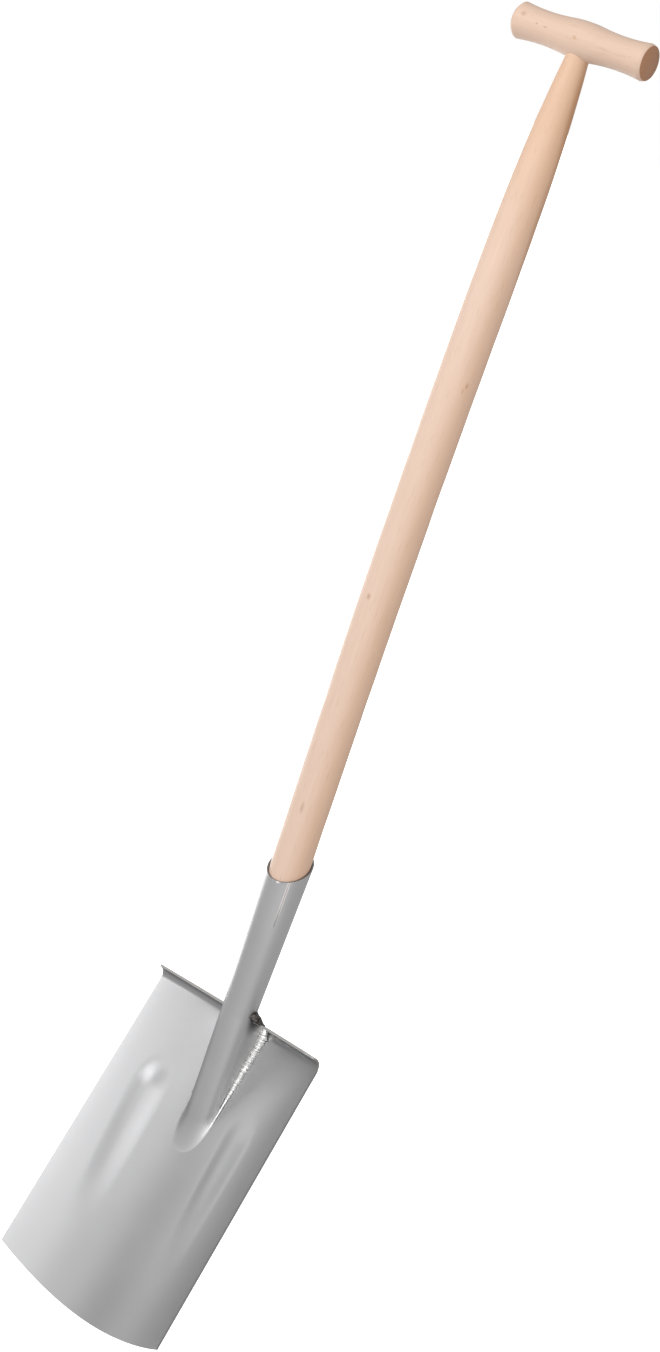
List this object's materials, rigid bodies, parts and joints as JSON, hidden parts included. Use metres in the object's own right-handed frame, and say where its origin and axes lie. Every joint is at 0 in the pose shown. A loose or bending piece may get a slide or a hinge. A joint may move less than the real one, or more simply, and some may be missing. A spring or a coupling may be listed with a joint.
{
  "type": "garden spade",
  "caption": "T-handled garden spade: dished steel blade with folded treads, welded open socket, tapered wooden shaft and turned crossbar grip.",
  "frame": {"origin": "on the shaft's axis in the middle of its parallel stretch, halfway from the socket's mouth to the grip, where a rack clip or a hand holds it", "axes": "+Z along the shaft, up towards the grip; -Y to the front, the hollow side of the blade, which the shaft leans over; +X to the right"},
  "size_m": [0.187, 0.1345, 1.1844],
  "materials": {
    "blade_steel": "semi-gloss silver-grey enamel",
    "socket_steel": "satin grey enamel",
    "weld_metal": "ground weld metal",
    "collar_metal": "heat-darkened satin",
    "shaft_wood": "bare sanded ash",
    "grip_wood": "bare sanded beech",
    "nail_steel": "plain wire nail"
  },
  "bodies": {
    "root": {"blade": "blade_steel", "socket": "socket_steel", "weld_right": "weld_metal", "weld_left": "weld_metal", "weld_collar": "collar_metal", "shaft": "shaft_wood", "grip": "grip_wood", "grip_nail": "nail_steel", "socket_screw": "nail_steel"}
  },
  "joints": []
}
